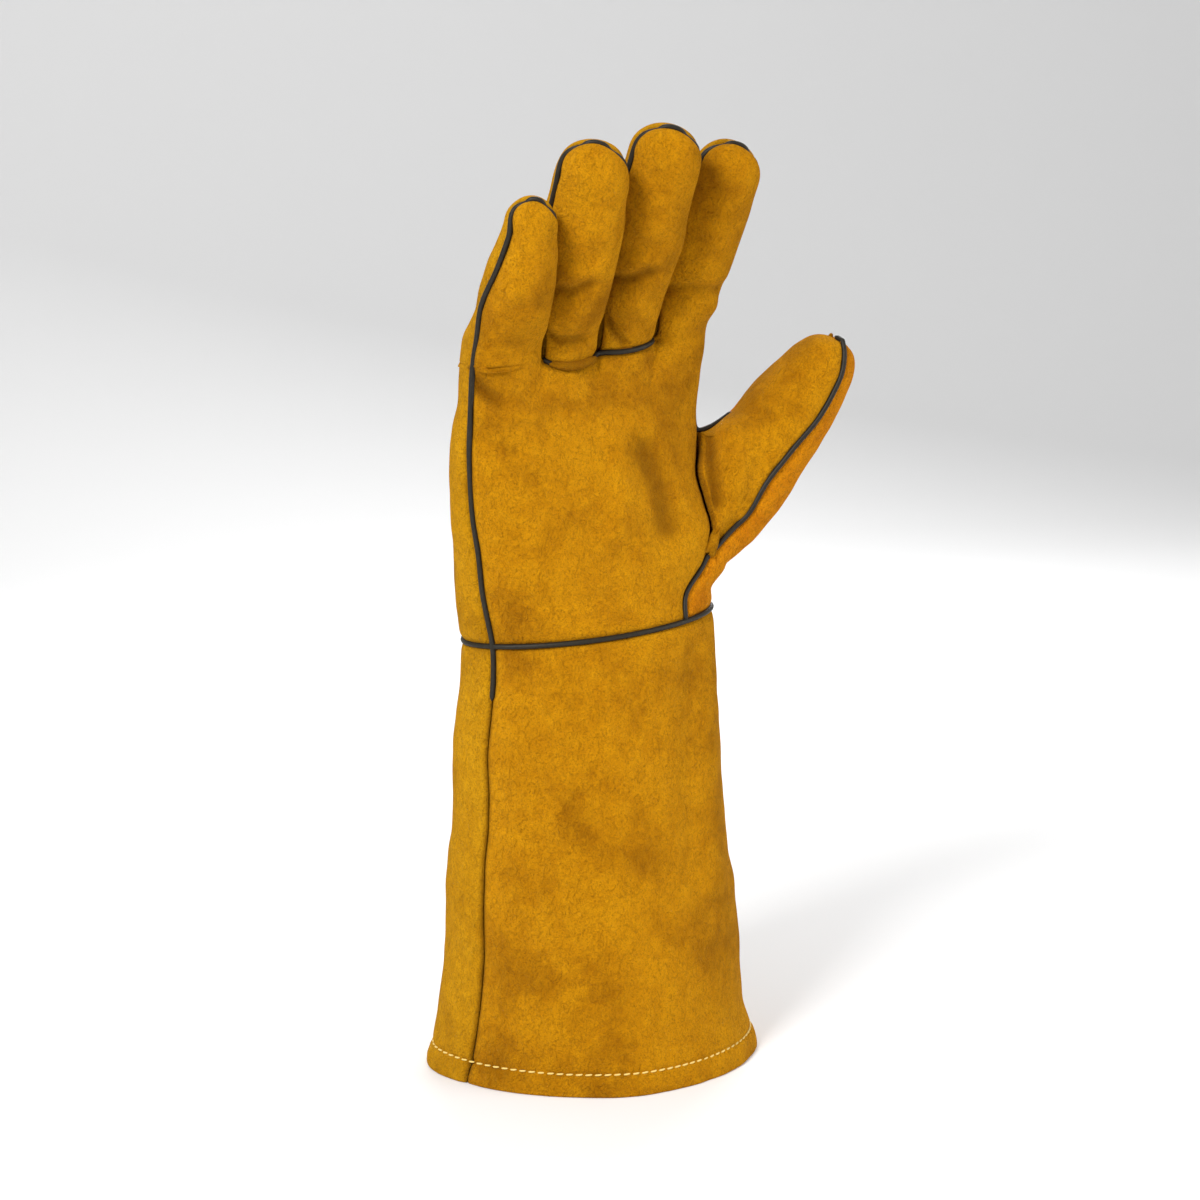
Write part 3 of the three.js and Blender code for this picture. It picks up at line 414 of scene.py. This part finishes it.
def waves(points, length, count=26):
    """Rolling noise from -1 to 1: plane waves in directions seeded by the wavelength, the same for
    every panel so that neighbours still meet."""
    seeded = np.random.default_rng(int(length * 10))
    way = unit(seeded.normal(size=(count, 3)))
    pace = 2 * np.pi / (length * seeded.uniform(0.7, 1.5, count))
    phase = seeded.uniform(0, 2 * np.pi, count)
    return np.sin(points @ (way * pace[:, None]).T + phase).mean(axis=1) * 3.2


def line_distance(points, path):
    """Least distance from each point to a polyline, in any number of dimensions."""
    best = np.full(len(points), 1e9)
    for a, b in zip(path[:-1], path[1:]):
        reach = np.clip((points - a) @ (b - a) / max((b - a) @ (b - a), 1e-9), 0, 1)
        best = np.minimum(best, np.linalg.norm(points - a - reach[:, None] * (b - a), axis=1))
    return best


def border_distance(points, quads):
    """Distance from each point to its panel's sewn edge, the hem's free edge left out."""
    edges = np.concatenate([quads[:, [0, 1]], quads[:, [1, 2]], quads[:, [2, 3]], quads[:, [3, 0]]])
    edges = np.sort(edges[edges[:, 0] != edges[:, 1]], axis=1)
    lines, uses = np.unique(edges, axis=0, return_counts=True)
    rim = points[np.unique(lines[uses == 1])]
    rim = rim[rim[:, 2] > 0.5]
    blocks = [np.linalg.norm(part[:, None] - rim, axis=2).min(axis=1)
              for part in np.array_split(points, max(len(points) // 1500, 1))]
    return np.concatenate(blocks)


def relief(name, points, normals, edge):
    """Rise of the leather in millimetres along its normal, and the depth of its folds, which the shader
    darkens as painted shade.
    """
    flat = np.stack([points @ VIEW_ACROSS, points[:, 2]], 1)
    facing = smooth((normals @ VIEW_TOWARD + 0.1) / 0.5)
    fold = np.zeros(len(points))
    for piece, rise, width, *path in FOLDS:
        if piece == name:
            away = line_distance(flat, np.array(path, float))
            shape = np.exp(-(away / width) ** 2) - 0.25 * np.exp(-(away / (2.2 * width)) ** 2)
            fold += rise * shape * facing
    fold *= smooth(edge / 3.5)
    on_cuff = name.startswith("cuff")
    broad = CUFF_WAVE_RISE + HAND_WAVE_MORE * smooth((points[:, 2] - 170) / 50)
    rise = fold + broad * waves(points, LONG_WAVE) + SHORT_WAVE_RISE * waves(points, SHORT_WAVE)
    dip = WELT_DIP - (WELT_DIP - PLAIN_DIP) * smooth((PLAIN_BELOW - points[:, 2]) / 10)
    rise += PUFF * (1 - np.exp(-(edge / PUFF_REACH) ** 2)) - dip * np.exp(-(edge / DIP_REACH) ** 2)
    if on_cuff:
        hem = np.clip(1 - ((points[:, 2] - HEM_MIDDLE) / HEM_HALF) ** 2, 0, 1)
        groove = np.exp(-((points[:, 2] - STITCH_HEIGHT) / GROOVE_HALF) ** 2)
        rise += HEM_SWELL * hem - GROOVE_DEPTH * groove
        rise += CUFF_WAVE_RISE * hem * waves(points, HEM_WAVE)
    return rise, fold


skin_index = {tuple(p): i for i, p in enumerate(np.round(skin_points, 2).tolist())}


def skin_normal(points):
    """The whole skin's normals at points that lie on its grid."""
    return skin_normals[[skin_index[tuple(p)] for p in np.round(points, 2).tolist()]]


# Rough split leather: short golden nap over mottled hide, darker in the folds with painted shade and along
# the seams with painted shade and soil, paler where the nap is rubbed up. Each panel group has its own three
# tones.
def suede_group():
    group = bpy.data.node_groups.new("Suede nap", "ShaderNodeTree")
    face = group.interface
    for label in ("Light", "Middle", "Dark"):
        face.new_socket(label, in_out="INPUT", socket_type="NodeSocketColor")
    face.new_socket("Colour", in_out="OUTPUT", socket_type="NodeSocketColor")
    face.new_socket("Normal", in_out="OUTPUT", socket_type="NodeSocketVector")
    node, link = group.nodes.new, group.links.new
    inputs, outputs = node("NodeGroupInput"), node("NodeGroupOutput")
    place = node("ShaderNodeTexCoord").outputs["Object"]

    def noise(scale, detail, rough, stretch=None, curl=0.0):
        texture = node("ShaderNodeTexNoise")
        texture.inputs["Scale"].default_value = scale
        texture.inputs["Detail"].default_value = detail
        texture.inputs["Roughness"].default_value = rough
        texture.inputs["Distortion"].default_value = curl
        if stretch:
            mapping = node("ShaderNodeMapping")
            mapping.inputs["Scale"].default_value = stretch
            link(place, mapping.inputs["Vector"])
            link(mapping.outputs["Vector"], texture.inputs["Vector"])
        else:
            link(place, texture.inputs["Vector"])
        return texture.outputs["Fac"]

    def ranged(value, low, high, first=0.0, last=1.0):
        step = node("ShaderNodeMapRange")
        step.inputs["From Min"].default_value = low
        step.inputs["From Max"].default_value = high
        step.inputs["To Min"].default_value = first
        step.inputs["To Max"].default_value = last
        link(value, step.inputs["Value"])
        return step.outputs["Result"]

    def math_node(kind, a, b):
        step = node("ShaderNodeMath")
        step.operation = kind
        for socket, value in zip(step.inputs, (a, b)):
            if hasattr(value, "links"):
                link(value, socket)
            else:
                socket.default_value = value
        return step.outputs["Value"]

    def blended(fac, a, b):
        step = node("ShaderNodeMix")
        step.data_type = "RGBA"
        link(fac, step.inputs["Factor"])
        link(a, step.inputs["A"])
        link(b, step.inputs["B"])
        return step.outputs["Result"]

    def attribute(name):
        read = node("ShaderNodeAttribute")
        read.attribute_name = name
        return read.outputs["Fac"]

    patches = noise(26, 5, 0.62)
    mottle = noise(150, 4, 0.6, None, 0.6)
    nap = noise(1300, 6, 0.72)
    strands = noise(420, 4, 0.6, (1.0, 1.0, 0.7), 1.6)
    tone = ranged(math_node("ADD", math_node("MULTIPLY", patches, 0.6), math_node("MULTIPLY", mottle, 0.4)),
                  0.38, 0.62)
    body = blended(tone, inputs.outputs["Middle"], inputs.outputs["Light"])
    pores = ranged(strands, 0.5, 0.7, 0.0, 0.42)
    speckle = ranged(nap, 0.36, 0.5, 0.45, 0.0)
    # Painted shade: darkens the leather where the fold attribute records a dent, standing in for shade in the
    # creases.
    fold_shade = ranged(attribute("fold"), 0.9, 3.6, 0.0, 0.8)
    # Painted shade and soil: darkens a thin line of leather along every sewn edge, where the seams dip into
    # grooves.
    seam_soil_and_shade = ranged(attribute("seam"), 0.3, 2.4, 0.6, 0.0)
    soil = ranged(patches, 0.34, 0.5, 0.38, 0.0)
    for mask in (pores, speckle, fold_shade, seam_soil_and_shade, soil):
        body = blended(mask, body, inputs.outputs["Dark"])
    height = math_node("ADD", math_node("MULTIPLY", nap, 0.6), strands)
    height = math_node("ADD", height, math_node("MULTIPLY", mottle, 1.1))
    bump = node("ShaderNodeBump")
    bump.inputs["Strength"].default_value = 1.0
    bump.inputs["Distance"].default_value = 0.0022
    link(height, bump.inputs["Height"])
    link(body, outputs.inputs["Colour"])
    link(bump.outputs["Normal"], outputs.inputs["Normal"])
    return group


SUEDE = suede_group()


def suede(name, light, middle, dark):
    material = bpy.data.materials.new(name)
    material.use_nodes = True
    tree = material.node_tree
    shader = tree.nodes["Principled BSDF"]
    nap = tree.nodes.new("ShaderNodeGroup")
    nap.node_tree = SUEDE
    for label, value in (("Light", light), ("Middle", middle), ("Dark", dark)):
        nap.inputs[label].default_value = (*value, 1)
    tree.links.new(nap.outputs["Colour"], shader.inputs["Base Color"])
    tree.links.new(nap.outputs["Normal"], shader.inputs["Normal"])
    shader.inputs["Roughness"].default_value = 0.95
    shader.inputs["Specular IOR Level"].default_value = 0.04
    shader.inputs["Sheen Weight"].default_value = 0.16
    shader.inputs["Sheen Roughness"].default_value = 0.45
    shader.inputs["Sheen Tint"].default_value = (1.0, 0.62, 0.08, 1)
    return material


golden = suede("Golden suede", (0.74, 0.32, 0.004), (0.56, 0.215, 0.002), (0.19, 0.062, 0.001))
yellow = suede("Yellow suede", (0.74, 0.35, 0.006), (0.57, 0.245, 0.003), (0.20, 0.075, 0.002))
orange = suede("Orange suede", (0.84, 0.30, 0.004), (0.66, 0.19, 0.002), (0.22, 0.055, 0.001))


# The eight leather panels: each outer skin is pressed into its relief, then given 2 mm of hide.
def leather(name, material):
    points, quads = joined([PARTS[part] for part in PANELS[name]])
    normals = vertex_normals(points, quads)
    edge = border_distance(points, quads)
    rise, fold = relief(name, points, normals, edge)
    whole = skin_normal(points)
    outward = unit(mix(whole, normals, smooth(edge / 4)))
    moved = points + outward * rise[:, None]
    moved[points[:, 2] < 0.01, 2] = 0
    mesh = bpy.data.meshes.new(name)
    faces = [list(dict.fromkeys(q)) for q in quads.tolist()]
    mesh.from_pydata((moved * MM).tolist(), [], [f for f in faces if len(f) > 2])
    # The fold depth and the seam distance drive the shader's painted shade in the creases and its painted
    # shade and soil along the seams.
    for label, values in (("seam", edge), ("fold", np.maximum(-fold, 0))):
        mesh.attributes.new(label, "FLOAT", "POINT").data.foreach_set("value", values.astype(np.float32))
    mesh.shade_smooth()
    mesh.materials.append(material)
    piece = bpy.data.objects.new(name + "_leather", mesh)
    bpy.context.scene.collection.objects.link(piece)
    hide = piece.modifiers.new("Hide", "SOLIDIFY")
    hide.thickness = 2.0 * MM
    hide.offset = -1
    fine = piece.modifiers.new("Fine", "SUBSURF")
    fine.levels = fine.render_levels = 1
    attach(piece, "root")
    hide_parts(name)
    return piece


for panel in ("palm_panel", "ring_finger_front", "middle_finger_front", "thumb_front", "cuff_front"):
    leather(panel, golden)
for panel in ("back_panel", "cuff_back"):
    leather(panel, yellow)
leather("thumb_back", orange)

# The welts: near-black rounded strips standing in the main seams, 2.2 mm wide, half sunk between the
# rolled edges of the leather.
WELT_RADIUS = 1.1
WELT_TALLER = 1.1
WELT_SINK = 0.8
WELT_STEP = 1.0
WELT_SIDES = 12


def evened(path, spacing, closed=False):
    """The path smoothed by its neighbours and cut into equal steps."""
    for _ in range(4):
        inner = (np.roll(path, 1, 0) + 2 * path + np.roll(path, -1, 0)) / 4
        path = inner if closed else np.concatenate([path[:1], inner[1:-1], path[-1:]])
    if closed:
        path = np.concatenate([path, path[:1]])
    along = np.concatenate([[0], np.cumsum(np.linalg.norm(np.diff(path, axis=0), axis=1))])
    marks = np.linspace(0, along[-1], max(int(along[-1] / spacing), 4) + 1)
    even = np.stack([np.interp(marks, along, path[:, c]) for c in range(path.shape[1])], 1)
    return even[:-1] if closed else even


def strip(name, path, closed, material):
    """A round strip along a seam: path and outward directions evened together, twelve points round, with
    the two ends narrowed to domes."""
    path = path[np.concatenate([[True], np.linalg.norm(np.diff(path, axis=0), axis=1) > 0.02])]
    data = evened(np.concatenate([path, skin_normal(path) * 10], 1), WELT_STEP, closed)
    centre, out = data[:, :3], unit(data[:, 3:])
    ahead, behind = np.roll(centre, -1, 0), np.roll(centre, 1, 0)
    if not closed:
        ahead[-1], behind[0] = centre[-1], centre[0]
    along = unit(ahead - behind)
    out = unit(out - along * np.sum(out * along, axis=1)[:, None])
    aside = np.cross(along, out)
    radius = np.full(len(centre), WELT_RADIUS)
    if not closed:
        fade = np.minimum(np.arange(len(centre)), np.arange(len(centre))[::-1])
        radius *= np.sqrt(np.clip((fade + 0.15) / 2.0, 0, 1))
    turn = np.linspace(0, 2 * np.pi, WELT_SIDES + 1)[:-1]
    run = np.cos(turn) * radius[:, None]
    rise = np.sin(turn) * WELT_TALLER * radius[:, None]
    ring = (centre[:, None] - out[:, None] * WELT_SINK + aside[:, None] * run[..., None]
            + out[:, None] * rise[..., None])
    rows = len(centre) if closed else len(centre) - 1
    ids = np.arange(len(centre) * WELT_SIDES).reshape(-1, WELT_SIDES)
    here, ahead_ids = ids[:rows], np.roll(ids, -1, 0)[:rows]
    around, ahead_around = np.roll(here, -1, 1), np.roll(ahead_ids, -1, 1)
    faces = np.stack([here, around, ahead_around, ahead_ids], -1).reshape(-1, 4).tolist()
    if not closed:
        faces += [ids[0][::-1].tolist(), ids[-1].tolist()]
    mesh = bpy.data.meshes.new(name)
    mesh.from_pydata((ring.reshape(-1, 3) * MM).tolist(), [], [f[::-1] for f in faces])
    mesh.shade_smooth()
    mesh.materials.append(material)
    piece = bpy.data.objects.new(name + "_strip", mesh)
    bpy.context.scene.collection.objects.link(piece)
    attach(piece, "root")
    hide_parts(name)
    return piece


def black_leather():
    """Near-black strip leather with a fine grain and a soft olive highlight."""
    material = bpy.data.materials.new("Black welt")
    material.use_nodes = True
    tree = material.node_tree
    shader = tree.nodes["Principled BSDF"]
    place = tree.nodes.new("ShaderNodeTexCoord")
    grain = tree.nodes.new("ShaderNodeTexNoise")
    grain.inputs["Scale"].default_value = 700
    grain.inputs["Detail"].default_value = 4
    ramp = tree.nodes.new("ShaderNodeValToRGB")
    ramp.color_ramp.elements[0].color = (0.006, 0.005, 0.003, 1)
    ramp.color_ramp.elements[1].color = (0.030, 0.024, 0.014, 1)
    bump = tree.nodes.new("ShaderNodeBump")
    bump.inputs["Strength"].default_value = 0.4
    bump.inputs["Distance"].default_value = 0.0004
    tree.links.new(place.outputs["Object"], grain.inputs["Vector"])
    tree.links.new(grain.outputs["Fac"], ramp.inputs["Fac"])
    tree.links.new(ramp.outputs["Color"], shader.inputs["Base Color"])
    tree.links.new(grain.outputs["Fac"], bump.inputs["Height"])
    tree.links.new(bump.outputs["Normal"], shader.inputs["Normal"])
    shader.inputs["Roughness"].default_value = 0.5
    shader.inputs["Specular IOR Level"].default_value = 0.25
    return material


# Lines of the welts: which finger row the tip welts start from on the left, and how many steps they run
# down the right; the side welt starts a little below the wrist, the thumb welt ends past the thumb's tip
TIP_WELT_FROM = 27
LITTLE_RIGHT_STEPS = 7
TIP_RIGHT_STEPS = 9
THUMB_TIP_STEPS = 16
SIDE_WELT_FOOT = 160
black = black_leather()


def over_tip(finger_number, start, steps):
    """Seam up the left of a fingertip from a row, over it, and down its right for some steps."""
    front = PARTS[f"front_{finger_number}"]
    return np.concatenate([front[start:, 0], front[-1], front[::-1, -1][:steps]])


palm_edge_line = PARTS["palm"][:, -1]
cuff_side = PARTS["cuff_palm"][:, 0]
below_wrist = cuff_side[cuff_side[:, 2] > SIDE_WELT_FOOT]
to_crotch = palm_edge_line[THUMB_CROTCH * ROW_STEPS:][::-1]
crotch_from = (THUMB_CROTCH - THUMB_FOOT) * ROW_STEPS
thumb_inner = PARTS["thumb_front"][crotch_from:crotch_from + ROW_STEPS, 0]
thumb_outer = PARTS["thumb_front"][:, -1]
thumb_tip = PARTS["thumb_front"][-1, ::-1][:THUMB_TIP_STEPS]
WELT_LINES = {
    "side_welt": [below_wrist, PARTS["palm"][:, 0], over_tip(0, 0, LITTLE_RIGHT_STEPS)],
    "ring_tip_welt": [over_tip(1, TIP_WELT_FROM, TIP_RIGHT_STEPS)],
    "middle_tip_welt": [over_tip(2, TIP_WELT_FROM, TIP_RIGHT_STEPS)],
    "index_welt": [over_tip(3, TIP_WELT_FROM, None), to_crotch, thumb_inner],
    "finger_base_welt": [PARTS["front_1"][0], PARTS["front_2"][0]],
    "thumb_welt": [palm_edge_line[:THUMB_FOOT * ROW_STEPS + 1], thumb_outer, thumb_tip],
    "wrist_welt": [PARTS["palm"][0], PARTS["thumb_back"][0], PARTS["back"][0]],
}
for welt_name, lines in WELT_LINES.items():
    strip(welt_name, np.concatenate(lines), welt_name == "wrist_welt", black)

# The hem stitches: one row of pale yellow thread, 3 mm stitches in the groove 9 mm above the hem's edge,
# each a capsule bowed a little over the leather and slanted like a lockstitch.
thread = bpy.data.materials.new("Pale thread")
thread.use_nodes = True
thread_shader = thread.node_tree.nodes["Principled BSDF"]
thread_shader.inputs["Base Color"].default_value = (0.80, 0.58, 0.16, 1)
thread_shader.inputs["Roughness"].default_value = 0.7
STITCH_PITCH = 3.9
STITCH_LENGTH = 3.0
STITCH_RADIUS = 0.42
STITCH_BOW = 0.25
STITCH_SLANT = 0.15
STITCH_RINGS = 9
STITCH_SIDES = 8
hem_angle = np.linspace(0, 360, 1441)[:-1]
hem_height = np.full_like(hem_angle, STITCH_HEIGHT)
hem_line = evened(on_section(through(SECTION, hem_height), hem_height, hem_angle), STITCH_PITCH, True)
hem_along = unit(np.roll(hem_line, -1, 0) - np.roll(hem_line, 1, 0))
hem_out = unit(np.cross(hem_along, np.array([0, 0, 1.0])))
hem_up = np.cross(hem_out, hem_along)
reach, spin = np.meshgrid(np.linspace(-1, 1, STITCH_RINGS),
                          np.linspace(0, 2 * np.pi, STITCH_SIDES + 1)[:-1], indexing="ij")
girth = np.sqrt(np.clip(1 - np.abs(reach) ** 4, 0.02, 1)) * STITCH_RADIUS
bed = hem_line + hem_out * 0.05
stitch = (bed[:, None, None] + hem_along[:, None, None] * (reach * STITCH_LENGTH / 2)[..., None]
          + hem_out[:, None, None] * (girth * np.cos(spin) + STITCH_BOW * (1 - reach ** 2))[..., None]
          + hem_up[:, None, None] * (girth * np.sin(spin) + STITCH_SLANT * reach)[..., None])
one = np.arange(STITCH_RINGS * STITCH_SIDES).reshape(STITCH_RINGS, STITCH_SIDES)
firsts = one.size * np.arange(len(hem_line))[:, None]
loop = np.stack([one[:-1], np.roll(one, -1, 1)[:-1], np.roll(one, -1, 1)[1:], one[1:]], -1).reshape(-1, 4)
stitch_faces = (loop[None] + firsts[:, None]).reshape(-1, 4).tolist()
stitch_faces += (firsts + one[0, ::-1]).tolist() + (firsts + one[-1]).tolist()
stitch_mesh = bpy.data.meshes.new("hem_stitches")
stitch_mesh.from_pydata((stitch.reshape(-1, 3) * MM).tolist(), [], stitch_faces)
stitch_mesh.shade_smooth()
stitch_mesh.materials.append(thread)
stitches = bpy.data.objects.new("hem_stitches", stitch_mesh)
bpy.context.scene.collection.objects.link(stitches)
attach(stitches, "root")

# Plain pale floor bent up into a wall 2.2 m behind the glove, soft studio light, and the camera at the palm
# side, a little above the wrist.
floor_mesh = bpy.data.meshes.new("floor")
bend = np.linspace(0, np.pi / 2, 17)
curve = np.stack([1.2 + np.sin(bend), 1 - np.cos(bend)], 1)
profile = np.concatenate([[[-4, 0]], curve, [[2.2, 5]]])
far_sides = np.repeat([[-5], [5]], len(profile), 1)
sweep = np.stack([far_sides, np.stack([profile[:, 0]] * 2), np.stack([profile[:, 1]] * 2)], -1)
strips = [(n, len(profile) + n, len(profile) + n + 1, n + 1) for n in range(len(profile) - 1)]
floor_mesh.from_pydata(sweep.reshape(-1, 3).tolist(), [], strips)
floor_mesh.shade_smooth()
floor = bpy.data.objects.new("floor", floor_mesh)
pale = bpy.data.materials.new("Pale floor")
pale.use_nodes = True
pale.node_tree.nodes["Principled BSDF"].inputs["Base Color"].default_value = (0.88, 0.88, 0.88, 1)
pale.node_tree.nodes["Principled BSDF"].inputs["Roughness"].default_value = 0.9
floor_mesh.materials.append(pale)
bpy.context.scene.collection.objects.link(floor)
world = bpy.data.worlds.new("studio")
world.use_nodes = True
world.node_tree.nodes["Background"].inputs["Color"].default_value = (1, 1, 1, 1)
world.node_tree.nodes["Background"].inputs["Strength"].default_value = 0.5
bpy.context.scene.world = world


def lamp(name, place, aim, width, power):
    light = bpy.data.lights.new(name, "AREA")
    light.size, light.energy = width, power
    shape = bpy.data.objects.new(name, light)
    shape.location = place
    direction = np.array(aim) - np.array(place)
    shape.rotation_euler = Vector(direction).to_track_quat("-Z", "Y").to_euler()
    bpy.context.scene.collection.objects.link(shape)


lamp("key", (-1.0, -0.9, 1.2), (0, 0, 0.22), 0.45, 25)
lamp("fill", (1.3, -0.7, 0.7), (0, 0, 0.2), 0.8, 9)
lamp("rim", (0.5, 1.1, 1.0), (0, 0, 0.25), 0.8, 10)

azimuth, elevation, roll = math.radians(-18), math.radians(10.36), math.radians(0.93)
back_way = Vector((math.sin(azimuth) * math.cos(elevation), -math.cos(azimuth) * math.cos(elevation),
                      math.sin(elevation)))
lens = bpy.data.cameras.new("camera")
lens.lens, lens.sensor_width = 82.8, 36
camera = bpy.data.objects.new("camera", lens)
camera.location = Vector((0, 0, 0.1971)) + back_way * 1.15
turn_matrix = (-back_way).to_track_quat("-Z", "Y").to_matrix().to_4x4() @ Matrix.Rotation(roll, 4, "Z")
camera.rotation_euler = turn_matrix.to_euler()
bpy.context.scene.collection.objects.link(camera)
bpy.context.scene.camera = camera
bpy.context.scene.view_settings.view_transform = "Standard"
